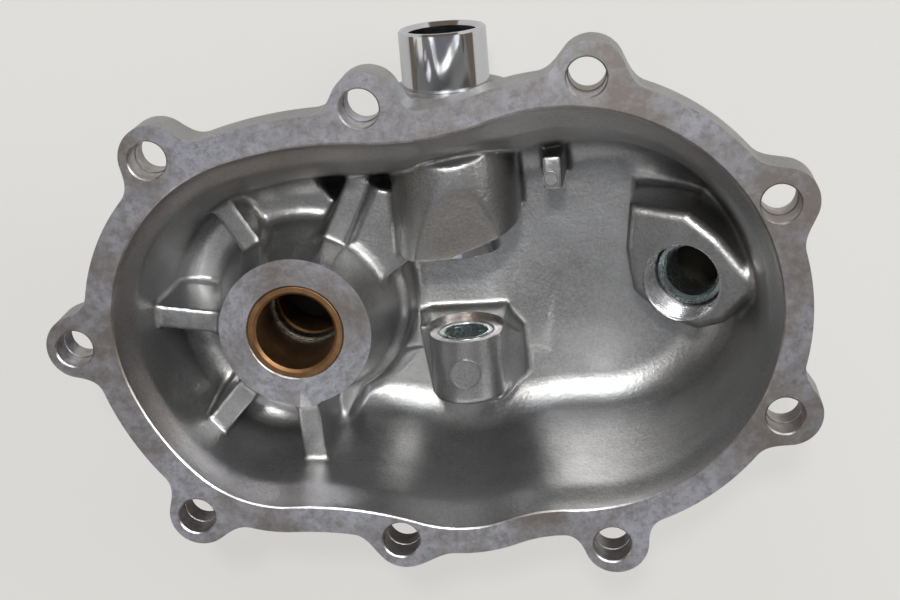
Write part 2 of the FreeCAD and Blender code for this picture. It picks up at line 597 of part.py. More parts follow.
turned("threaded_fitting", [
    ("Sizes.fitting_bore_diameter / 2", "0"), ("Sizes.port_hole_diameter / 2", "0"),
    ("Sizes.port_hole_diameter / 2", "Sizes.fitting_length - Sizes.fitting_chamfer"),
    ("Sizes.port_hole_diameter / 2 - Sizes.fitting_chamfer", "Sizes.fitting_length"),
    ("Sizes.fitting_bore_diameter / 2 + Sizes.fitting_chamfer / 2", "Sizes.fitting_length"),
    ("Sizes.fitting_bore_diameter / 2", "Sizes.fitting_length - Sizes.fitting_chamfer / 2"),
], FreeCAD.Placement(V(0, 0, 0), PORT_TURN), {
    "x": "Sizes.port_x + (Sizes.fitting_set_in + Sizes.fitting_length) * sin(Sizes.port_tilt)",
    "y": "Sizes.port_y",
    "z": "-Sizes.port_depth - (Sizes.fitting_set_in + Sizes.fitting_length) * cos(Sizes.port_tilt)",
})

# ---------------------------------------------------------------- checks and export
doc.recompute()
for item in doc.Objects:
    if "Invalid" in item.State or "Error" in item.State:
        raise RuntimeError("object failed: " + item.Name)

os.makedirs("parts", exist_ok=True)
for body in doc.findObjects("PartDesign::Body"):
    shape = body.Shape
    if shape.isNull() or not shape.isValid():
        raise RuntimeError("bad shape: " + body.Label)
    shape.exportStep("parts/%s.step" % body.Label)
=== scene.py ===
"""Scene of a die cast gear cover: a cast bowl with a machined rim, bushes and a cross shaft tube.

Shapes are worked out in millimetres in the casting's own frame: Z = 0 is the machined joint
face, X and Y are centred on the main bore. Meshes are written in metres, with the joint face
JOINT_HEIGHT above the row's origin.
"""
import logging
import math
from dataclasses import dataclass, field
from enum import Enum
from typing import Callable, Sequence

import bpy
import numpy as np
from mathutils import Matrix, Vector


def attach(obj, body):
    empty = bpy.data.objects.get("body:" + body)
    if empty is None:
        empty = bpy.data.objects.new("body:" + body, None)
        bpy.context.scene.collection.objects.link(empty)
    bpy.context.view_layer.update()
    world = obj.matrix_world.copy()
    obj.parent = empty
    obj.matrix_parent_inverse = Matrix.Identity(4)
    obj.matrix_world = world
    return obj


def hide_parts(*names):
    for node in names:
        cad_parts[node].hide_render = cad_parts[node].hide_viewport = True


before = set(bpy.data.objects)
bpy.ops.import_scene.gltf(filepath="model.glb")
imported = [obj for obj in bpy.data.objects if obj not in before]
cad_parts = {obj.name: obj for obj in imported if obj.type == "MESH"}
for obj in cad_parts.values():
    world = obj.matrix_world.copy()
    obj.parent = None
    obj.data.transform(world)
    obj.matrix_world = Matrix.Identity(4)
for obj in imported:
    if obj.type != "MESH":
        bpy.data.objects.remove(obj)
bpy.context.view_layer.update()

LOG = logging.getLogger("gear_cover")
MM = 0.001
JOINT_HEIGHT = 22.0
Array = np.ndarray
Point = tuple[float, float, float]
Feature = tuple[Callable[..., Array], Point, Point, float]


# ------------------------------------------------------------------ distance arithmetic
def join_round(a: Array, b: Array, radius: float) -> Array:
    """Union of two distance fields with a round fillet.

    The lesser distance, less the length of what each lacks to the radius, held at the radius.

    Args:
        a: first distance field, negative inside.
        b: second distance field.
        radius: fillet radius in mm.

    Returns:
        The joined field.
    """
    lack = np.hypot(np.maximum(radius - a, 0.0), np.maximum(radius - b, 0.0))
    return np.maximum(radius, np.minimum(a, b)) - lack


def meet_round(a: Array, b: Array, radius: float) -> Array:
    """Intersection of two distance fields with a rounded edge: the union of their opposites."""
    return -join_round(-a, -b, radius)


def prism(x: Array, y: Array, corners: Sequence[tuple[float, float]]) -> Array:
    """Distance to a convex prism: the greatest distance to any of its side planes.

    Args:
        x: first plane coordinate.
        y: second plane coordinate.
        corners: corners in anticlockwise order.

    Returns:
        Distance field, negative inside.
    """
    result = None
    for (x0, y0), (x1, y1) in zip(corners, corners[1:] + corners[:1]):
        span = math.hypot(x1 - x0, y1 - y0)
        side = ((y1 - y0) * (x - x0) - (x1 - x0) * (y - y0)) / span
        result = side if result is None else np.maximum(result, side)
    return result


# ------------------------------------------------------------------ outline of the rim
@dataclass(frozen=True)
class Outline:
    """Inner outline of the rim: five circles joined by tangent arcs.

    A positive blend radius is an arc that holds both circles, a negative one touches them
    from outside.
    """

    circles: tuple[Point, ...] = (
        (3.1, 8.8, 42.1), (-1.1, -7.4, 30.1), (41.0, -11.8, 32.8), (69.3, 8.7, 49.4),
        (19.6, 5.2, 47.4),
    )
    blends: tuple[float, ...] = (63.4, -90.0, -38.1, -71.8, 96.5)
    spacing: float = 0.35

    def blend_centre(self, index: int) -> tuple[float, float]:
        """Centre of the arc that touches circle number index and the next one."""
        x1, y1, r1 = self.circles[index]
        x2, y2, r2 = self.circles[(index + 1) % len(self.circles)]
        radius = self.blends[index]
        side = 1.0 if radius > 0 else -1.0
        d1, d2 = abs(radius - r1), abs(radius - r2)
        span = math.hypot(x2 - x1, y2 - y1)
        along = (d1 * d1 - d2 * d2 + span * span) / (2 * span)
        aside = math.sqrt(d1 * d1 - along * along)
        ux, uy = (x2 - x1) / span, (y2 - y1) / span
        return x1 + along * ux - side * aside * uy, y1 + along * uy + side * aside * ux

    def sample(self) -> tuple[Array, Array]:
        """Points along the outline, anticlockwise, and the outward normal at each."""
        count = len(self.circles)
        centres = [self.blend_centre(index) for index in range(count)]
        points, normals = [], []

        def touch(circle: Point, blend: int) -> float:
            turn = 1.0 if self.blends[blend] > 0 else -1.0
            cx, cy = centres[blend]
            return math.atan2((circle[1] - cy) * turn, (circle[0] - cx) * turn)

        def arc(cx: float, cy: float, radius: float, start: float, stop: float) -> None:
            steps = max(4, int(abs(stop - start) * abs(radius) / self.spacing))
            angle = np.linspace(start, stop, steps, endpoint=False)
            ray = np.stack([np.cos(angle), np.sin(angle)], axis=1)
            points.append(np.array([cx, cy]) + abs(radius) * ray)
            normals.append(ray if radius > 0 else -ray)

        for index, circle in enumerate(self.circles):
            start, stop = touch(circle, index - 1), touch(circle, index)
            while stop < start:
                stop += 2 * math.pi
            arc(circle[0], circle[1], circle[2], start, stop)
            after = self.circles[(index + 1) % count]
            leave = touch(after, index)
            cx, cy = centres[index]
            if self.blends[index] > 0:
                while leave < stop:
                    leave += 2 * math.pi
                arc(cx, cy, self.blends[index], stop, leave)
            else:
                first, last = stop + math.pi, leave + math.pi
                while first - last > math.pi:
                    last += 2 * math.pi
                while first < last:
                    first += 2 * math.pi
                while first - last > math.pi:
                    first -= 2 * math.pi
                arc(cx, cy, self.blends[index], first, last)
        return np.concatenate(points), np.concatenate(normals)


class PlanField:
    """Signed distance to the outline on a fine plan grid, read back by linear interpolation."""

    def __init__(self, outline: Outline, low: tuple[float, float], high: tuple[float, float],
                 step: float = 0.5) -> None:
        """Work out the distance of every grid point along the nearest sample's normal."""
        self.low, self.step = low, step
        points, normals = outline.sample()
        xs = np.arange(low[0], high[0], step)
        ys = np.arange(low[1], high[1], step)
        rows = []
        for part in np.array_split(xs, 24):
            gx, gy = np.meshgrid(part, ys, indexing="ij")
            dx = gx.reshape(-1, 1) - points[None, :, 0]
            dy = gy.reshape(-1, 1) - points[None, :, 1]
            near = np.argmin(dx * dx + dy * dy, axis=1)
            pick = np.arange(near.size)
            away = dx[pick, near] * normals[near, 0] + dy[pick, near] * normals[near, 1]
            rows.append(away.reshape(gx.shape))
        self.grid = np.concatenate(rows).astype(np.float32)

    def at(self, x: Array, y: Array) -> Array:
        """Distance at plan points, held at the grid's edge beyond it."""
        nx, ny = self.grid.shape
        fx = np.clip((x - self.low[0]) / self.step, 0, nx - 1.001)
        fy = np.clip((y - self.low[1]) / self.step, 0, ny - 1.001)
        ix, iy = fx.astype(np.int32), fy.astype(np.int32)
        tx, ty = fx - ix, fy - iy
        flat = self.grid.ravel()
        at = ix * ny + iy
        near = flat[at] * (1 - ty) + flat[at + 1] * ty
        far = flat[at + ny] * (1 - ty) + flat[at + ny + 1] * ty
        return near * (1 - tx) + far * tx


# ------------------------------------------------------------------ meshes
@dataclass
class Sheet:
    """Vertices in mm and faces of one kind, ready to become a mesh."""

    vertices: Array
    faces: list[Array]

    def mesh(self, name: str) -> bpy.types.Mesh:
        """A Blender mesh in metres in the row's frame."""
        mesh = bpy.data.meshes.new(name)
        places = self.vertices * MM
        places[:, 2] += JOINT_HEIGHT * MM
        totals = np.concatenate([np.full(len(f), f.shape[1], np.int32) for f in self.faces])
        corners = np.concatenate([f.ravel() for f in self.faces]).astype(np.int32)
        mesh.vertices.add(len(places))
        mesh.vertices.foreach_set("co", places.astype(np.float32).ravel())
        mesh.loops.add(len(corners))
        mesh.loops.foreach_set("vertex_index", corners)
        mesh.polygons.add(len(totals))
        starts = np.concatenate([[0], np.cumsum(totals)[:-1]]).astype(np.int32)
        mesh.polygons.foreach_set("loop_start", starts)
        mesh.polygons.foreach_set("loop_total", totals)
        mesh.update(calc_edges=True)
        mesh.validate()
        return mesh


def new_object(name: str, mesh: bpy.types.Mesh) -> bpy.types.Object:
    """An object at the origin, linked into the scene."""
    made = bpy.data.objects.new(name, mesh)
    bpy.context.scene.collection.objects.link(made)
    return made


def finish_object(made: bpy.types.Object, skins: Sequence[bpy.types.Material],
                  body: str, sharp: float = 32.0) -> None:
    """Give a piece its materials, its smooth shading with sharp creases and its body.

    Args:
        made: the piece.
        skins: materials in slot order.
        body: the body it rides on.
        sharp: angle in degrees above which an edge is a crease.
    """
    if len(made.data.materials) == 0:
        for skin in skins:
            made.data.materials.append(skin)
    made.data.polygons.foreach_set("use_smooth", np.ones(len(made.data.polygons), bool))
    made.data.set_sharp_from_angle(angle=math.radians(sharp))
    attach(made, body)
    LOG.info("%s: %d faces", made.name, len(made.data.polygons))


@dataclass(frozen=True)
class Axle:
    """An axis in space: a point on it and two directions across it and along it."""

    base: Point = (0.0, 0.0, 0.0)
    along: Point = (0.0, 0.0, 1.0)
    across: Point = (1.0, 0.0, 0.0)

    def place(self, radius: Array, angle: Array, height: Array) -> Array:
        """Points at a radius, angle and height about the axis."""
        along, across = np.array(self.along), np.array(self.across)
        third = np.cross(along, across)
        ray = np.cos(angle)[..., None] * across + np.sin(angle)[..., None] * third
        return np.array(self.base) + radius[..., None] * ray + height[..., None] * along


def lathe(profile: Sequence[tuple[float, float]], axle: Axle, segments: int = 128) -> Sheet:
    """A closed turned surface: the profile's radius and height carried round the axis.

    A profile that starts and ends on the axis is closed there by fans, any other is joined
    last point to first.

    Args:
        profile: (radius, height) points, anticlockwise in the half plane.
        axle: the axis.
        segments: steps round the axis.

    Returns:
        The surface with its faces outwards.
    """
    rows = np.array(profile, float)
    solid = rows[0, 0] == 0.0 and rows[-1, 0] == 0.0
    ring = rows[1:-1] if solid else rows
    angle = np.arange(segments) * (2 * math.pi / segments)
    radius = np.repeat(ring[:, :1], segments, axis=1)
    height = np.repeat(ring[:, 1:], segments, axis=1)
    places = axle.place(radius, np.broadcast_to(angle, radius.shape), height).reshape(-1, 3)
    count = len(ring)
    row = np.arange(count - 1 if solid else count)
    after = (row + 1) % count
    step = np.arange(segments)
    turn = (step + 1) % segments
    quads = np.stack([
        row[:, None] * segments + step, row[:, None] * segments + turn,
        after[:, None] * segments + turn, after[:, None] * segments + step,
    ], axis=-1).reshape(-1, 4)
    faces = [quads]
    if solid:
        ends = axle.place(np.zeros(2), np.zeros(2), rows[[0, -1], 1])
        low, high = len(places), len(places) + 1
        places = np.concatenate([places, ends])
        last = (count - 1) * segments
        faces.append(np.stack([np.full(segments, low), turn, step], axis=-1))
        faces.append(np.stack([np.full(segments, high), last + step, last + turn], axis=-1))
    return Sheet(places, faces)


def merge(sheets: Sequence[Sheet]) -> Sheet:
    """Several surfaces as one."""
    places, faces, base = [], [], 0
    for sheet in sheets:
        places.append(sheet.vertices)
        faces += [part + base for part in sheet.faces]
        base += len(sheet.vertices)
    return Sheet(np.concatenate(places), faces)


# ------------------------------------------------------------------ volume of the casting
class Volume:
    """Distance samples on a regular grid, and the surface where they change sign."""

    def __init__(self, low: Point, high: Point, cell: float) -> None:
        """Set up an empty grid that spans two corners."""
        self.low, self.cell = np.array(low), cell
        self.axes = [np.arange(a, b + cell, cell, dtype=np.float32) for a, b in zip(low, high)]
        self.values = np.full([len(axis) for axis in self.axes], 50.0, np.float32)

    def window(self, low: Point, high: Point) -> tuple[slice, ...]:
        """Index ranges of the grid points inside a box."""
        return tuple(
            slice(int(np.searchsorted(axis, a)), int(np.searchsorted(axis, b)))
            for axis, a, b in zip(self.axes, low, high)
        )

    def coordinates(self, window: tuple[slice, ...]) -> tuple[Array, Array, Array]:
        """Coordinates of a window as arrays that broadcast against each other."""
        x, y, z = (axis[part] for axis, part in zip(self.axes, window))
        return x[:, None, None], y[None, :, None], z[None, None, :]

    def read(self, places: Array) -> Array:
        """Distance at any places, by linear interpolation in three directions."""
        at = (places - self.low) / self.cell
        base = np.clip(at.astype(np.int32), 0, np.array(self.values.shape) - 2)
        t = (at - base).astype(np.float32)
        nx, ny, nz = self.values.shape
        flat = self.values.ravel()
        index = (base[:, 0] * ny + base[:, 1]) * nz + base[:, 2]
        total = np.zeros(len(places), np.float32)
        for corner in range(8):
            i, j, k = corner >> 2 & 1, corner >> 1 & 1, corner & 1
            weight = ((t[:, 0] if i else 1 - t[:, 0]) * (t[:, 1] if j else 1 - t[:, 1])
                      * (t[:, 2] if k else 1 - t[:, 2]))
            total += weight * flat[index + (i * ny + j) * nz + k]
        return total

    def surface(self) -> Sheet:
        """The zero surface as quads, one vertex per crossed cell.

        A cell's vertex is the mean of its edge crossings, then moved twice down the slope of
        the field on to the zero level.
        """
        v = self.values
        inside = v < 0
        corners = np.zeros(tuple(n - 1 for n in v.shape), np.int8)
        for shift in np.ndindex(2, 2, 2):
            corners += inside[tuple(slice(s, n - 1 + s) for s, n in zip(shift, v.shape))]
        cells = np.argwhere((corners > 0) & (corners < 8)).astype(np.int32)
        number = np.full(corners.shape, -1, np.int32)
        number[cells[:, 0], cells[:, 1], cells[:, 2]] = np.arange(len(cells))
        total = np.zeros((len(cells), 3), np.float32)
        hits = np.zeros(len(cells), np.float32)
        for axis, p, q in np.ndindex(3, 2, 2):
            start = np.zeros(3, np.int32)
            start[[d for d in range(3) if d != axis]] = (p, q)
            stop = start.copy()
            stop[axis] = 1
            a, b = v[tuple((cells + start).T)], v[tuple((cells + stop).T)]
            crossed = (a < 0) != (b < 0)
            at = start[None, :].astype(np.float32).repeat(len(cells), axis=0)
            at[:, axis] = np.where(crossed, a / np.where(crossed, a - b, 1.0), 0.0)
            total += at * crossed[:, None]
            hits += crossed
        places = self.low + (cells + total / hits[:, None]) * self.cell
        for _ in range(2):
            slope = np.zeros_like(places)
            for axis in range(3):
                shift = np.zeros(3)
                shift[axis] = 0.35 * self.cell
                slope[:, axis] = (self.read(places + shift) - self.read(places - shift)) \
                    / (0.7 * self.cell)
            steep = np.maximum((slope ** 2).sum(axis=1), 0.25)
            move = -(self.read(places) / steep)[:, None] * slope
            places += np.clip(move, -0.4 * self.cell, 0.4 * self.cell)
        quads = []
        for axis in range(3):
            u, w = (axis + 1) % 3, (axis + 2) % 3
            first = [slice(None)] * 3
            second = [slice(None)] * 3
            first[axis], second[axis] = slice(0, -1), slice(1, None)
            change = inside[tuple(first)] != inside[tuple(second)]
            leaving = inside[tuple(first)]
            for d in (u, w):
                cut = [slice(None)] * 3
                cut[d] = slice(1, -1)
                change, leaving = change[tuple(cut)], leaving[tuple(cut)]
            at = np.argwhere(change)
            out = leaving[change]
            at[:, u] += 1
            at[:, w] += 1
            around = []
            for du, dw in ((-1, -1), (0, -1), (0, 0), (-1, 0)):
                cell = at.copy()
                cell[:, u] += du
                cell[:, w] += dw
                around.append(number[cell[:, 0], cell[:, 1], cell[:, 2]])
            quad = np.stack(around, axis=1)
            quads.append(np.where(out[:, None], quad, quad[:, ::-1]))
        return Sheet(places, [np.concatenate(quads)])


# ------------------------------------------------------------------ finishes
class Shader:
    """Builds a procedural metal on Object coordinates, in metres."""

    def __init__(self, name: str) -> None:
        """Start from a plain Principled surface."""
        self.material = bpy.data.materials.new(name)
        self.material.use_nodes = True
        self.tree = self.material.node_tree
        self.surface = self.tree.nodes["Principled BSDF"]
        self.place = self.tree.nodes.new("ShaderNodeTexCoord").outputs["Object"]

    def link(self, source: bpy.types.NodeSocket, target: bpy.types.NodeSocket) -> None:
        """Join two sockets."""
        self.tree.links.new(source, target)

    def noise(self, scale: float, detail: float = 3.0, rough: float = 0.55,
              stretch: Point = (1.0, 1.0, 1.0), turn: Point = (0.0, 0.0, 0.0)
              ) -> bpy.types.NodeSocket:
        """Noise value at a scale per metre, stretched and turned.

        Args:
            scale: noise cells per metre.
            detail: octaves.
            rough: weight of the finer octaves.
            stretch: factor on each axis.
            turn: rotation in radians.

        Returns:
            The value socket, 0 to 1.
        """
        mapping = self.tree.nodes.new("ShaderNodeMapping")
        mapping.inputs["Scale"].default_value = stretch
        mapping.inputs["Rotation"].default_value = turn
        node = self.tree.nodes.new("ShaderNodeTexNoise")
        node.inputs["Scale"].default_value = scale
        node.inputs["Detail"].default_value = detail
        node.inputs["Roughness"].default_value = rough
        self.link(self.place, mapping.inputs["Vector"])
        self.link(mapping.outputs["Vector"], node.inputs["Vector"])
        return node.outputs["Fac"]

    def remap(self, value: bpy.types.NodeSocket, low: float, high: float, to_low: float,
              to_high: float) -> bpy.types.NodeSocket:
        """Value carried linearly from one range to another, and clamped."""
        node = self.tree.nodes.new("ShaderNodeMapRange")
        for socket, number in zip(("From Min", "From Max", "To Min", "To Max"),
                                  (low, high, to_low, to_high)):
            node.inputs[socket].default_value = number
        self.link(value, node.inputs["Value"])
        return node.outputs["Result"]

    def math(self, kind: str, a: bpy.types.NodeSocket, b: bpy.types.NodeSocket | float
             ) -> bpy.types.NodeSocket:
        """One arithmetic step."""
        node = self.tree.nodes.new("ShaderNodeMath")
        node.operation = kind
        self.link(a, node.inputs[0])
        if isinstance(b, (int, float)):
            node.inputs[1].default_value = b
        else:
            self.link(b, node.inputs[1])
        return node.outputs[0]

    def blend(self, value: bpy.types.NodeSocket, first: Point | bpy.types.NodeSocket,
              second: Point | bpy.types.NodeSocket) -> bpy.types.NodeSocket:
        """Colour between two colours."""
        node = self.tree.nodes.new("ShaderNodeMix")
        node.data_type = "RGBA"
        self.link(value, node.inputs["Factor"])
        for index, colour in ((6, first), (7, second)):
            if isinstance(colour, tuple):
                node.inputs[index].default_value = (*colour, 1.0)
            else:
                self.link(colour, node.inputs[index])
        return node.outputs[2]

    def set(self, name: str, value: float | bpy.types.NodeSocket) -> None:
        """Set or drive one socket of the surface."""
        socket = self.surface.inputs[name]
        if isinstance(value, (int, float)):
            socket.default_value = value
        else:
            self.link(value, socket)

    def bump(self, layers: Sequence[tuple[bpy.types.NodeSocket, float, float]]) -> None:
        """Chain of bumps, each a height, a strength and a depth in metres."""
        normal = None
        for height, strength, depth in layers:
            node = self.tree.nodes.new("ShaderNodeBump")
            node.inputs["Strength"].default_value = strength
            node.inputs["Distance"].default_value = depth
            self.link(height, node.inputs["Height"])
            if normal is not None:
                self.link(normal, node.inputs["Normal"])
            normal = node.outputs["Normal"]
        self.link(normal, self.surface.inputs["Normal"])


@dataclass(frozen=True)
class CastSkin:
    """Blasted die cast aluminium: grey, fine grained, faintly cloudy, with bright specks."""

    light: Point = (0.40, 0.40, 0.405)
    dark: Point = (0.25, 0.248, 0.243)
    roughness: float = 0.40

    def build(self) -> bpy.types.Material:
        """Clouds and grain colour the skin, and three sizes of grain raise it."""
        shader = Shader("cast_skin")
        clouds = shader.noise(38.0, 5.0, 0.6)
        grain = shader.noise(1500.0, 2.0, 0.7)
        speck = shader.noise(2600.0, 1.0, 0.5)
        base = shader.blend(shader.remap(clouds, 0.35, 0.68, 0.0, 1.0), self.dark, self.light)
        colour = shader.blend(shader.remap(grain, 0.3, 0.72, 0.0, 0.5), base, (0.52, 0.52, 0.52))
        shader.link(colour, shader.surface.inputs["Base Color"])
        shader.set("Metallic", 1.0)
        shader.set("Roughness", shader.remap(speck, 0.55, 0.75, self.roughness, 0.32))
        pits = shader.noise(900.0, 3.0, 0.6)
        shader.bump([(shader.noise(160.0, 3.0, 0.5), 0.25, 0.0006), (pits, 0.35, 0.0002),
                     (grain, 0.35, 0.0001)])
        return shader.material


@dataclass(frozen=True)
class MilledFace:
    """Machined aluminium: brighter, cloudy with oil marks, with fine scratches."""

    clean: Point = (0.72, 0.72, 0.77)
    stained: Point = (0.32, 0.285, 0.26)
    roughness: float = 0.30

    def build(self) -> bpy.types.Material:
        """Blotches darken and dull the face, fine lines scratch it."""
        shader = Shader("milled_face")
        blotch = shader.noise(34.0, 7.0, 0.68)
        fine = shader.noise(520.0, 4.0, 0.65)
        base = shader.blend(shader.remap(blotch, 0.40, 0.60, 0.0, 1.0), self.stained, self.clean)
        colour = shader.blend(shader.remap(fine, 0.44, 0.66, 0.0, 0.6), base, (0.30, 0.27, 0.25))
        shader.link(colour, shader.surface.inputs["Base Color"])
        shader.set("Metallic", 1.0)
        shader.set("Roughness", shader.remap(blotch, 0.3, 0.7, 0.42, self.roughness - 0.06))
        scratch = shader.noise(260.0, 2.0, 0.5, (1.0, 18.0, 1.0), (0.0, 0.0, 0.6))
        lines = shader.noise(900.0, 2.0, 0.6, (12.0, 0.6, 1.0), (0.0, 0.0, -0.35))
        shader.bump([(scratch, 0.14, 0.0001), (lines, 0.12, 0.0001), (fine, 0.15, 0.0001)])
        return shader.material


@dataclass(frozen=True)
class TurnedMetal:
    """A turned or plated metal with faint marks round its axis."""

    name: str
    clean: Point
    worn: Point
    roughness: float
    marks: Point = (1.0, 1.0, 1.0)
    depth: float = 0.12

    def build(self) -> bpy.types.Material:
        """Clouds between two colours, and turning marks as noise stretched along the marks."""
        shader = Shader(self.name)
        clouds = shader.noise(120.0, 5.0, 0.6)
        colour = shader.blend(shader.remap(clouds, 0.36, 0.66, 0.0, 1.0), self.worn, self.clean)
        shader.link(colour, shader.surface.inputs["Base Color"])
        shader.set("Metallic", 1.0)
        fine = shader.noise(700.0, 3.0, 0.6, self.marks)
        shader.set("Roughness", shader.remap(fine, 0.3, 0.7, self.roughness + 0.08,
                                             self.roughness - 0.05))
        shader.bump([(fine, self.depth, 0.0001)])
        return shader.material


class Finish(Enum):
    """The finishes of the object's pieces."""

    CAST = CastSkin()
    MILLED = MilledFace()
    BRONZE = TurnedMetal("sintered_bronze", (0.36, 0.20, 0.095), (0.19, 0.105, 0.05), 0.42,
                         (1.0, 1.0, 14.0))
    STEEL = TurnedMetal("ground_steel", (0.74, 0.82, 0.82), (0.52, 0.58, 0.58), 0.26,
                        (1.0, 1.0, 10.0))
    ZINC = TurnedMetal("zinc_plate", (0.62, 0.64, 0.60), (0.36, 0.34, 0.22), 0.50,
                       (9.0, 0.6, 9.0), 0.3)

    CUT = TurnedMetal("cut_aluminium", (0.86, 0.87, 0.89), (0.62, 0.62, 0.63), 0.24,
                      (1.0, 1.0, 6.0))

    def material(self) -> bpy.types.Material:
        """The finish as a material, built once."""
        names = {"CAST": "cast_skin", "MILLED": "milled_face"}
        name = names.get(self.name) or self.value.name
        return bpy.data.materials.get(name) or self.value.build()


# ------------------------------------------------------------------ the casting
# The cross shaft's axis runs along +Y at this X and Z, the port's out of its tilted mouth.
SHAFT = (41.2, -38.0)
SHAFT_AXLE = Axle((SHAFT[0], 0.0, SHAFT[1]), (0.0, 1.0, 0.0), (1.0, 0.0, 0.0))
PORT_MOUTH = (96.6, 3.8, -36.0)
PORT_TILT = math.radians(16.0)
PORT_AXLE = Axle(PORT_MOUTH, (-math.sin(PORT_TILT), 0.0, math.cos(PORT_TILT)),
                 (math.cos(PORT_TILT), 0.0, math.sin(PORT_TILT)))
LUG_HOLES = (
    (-25.05, 51.1), (25.2, 60.3), (76.55, 64.35), (118.4, 33.1), (118.5, -18.2),
    (76.7, -50.1), (25.35, -47.1), (-24.75, -39.0), (-49.1, 6.05),
)


@dataclass(frozen=True)
class Rib:
    """One radial rib of the main boss."""

    angle: float
    reach: float
    top: float
    ramp: float = 0.0


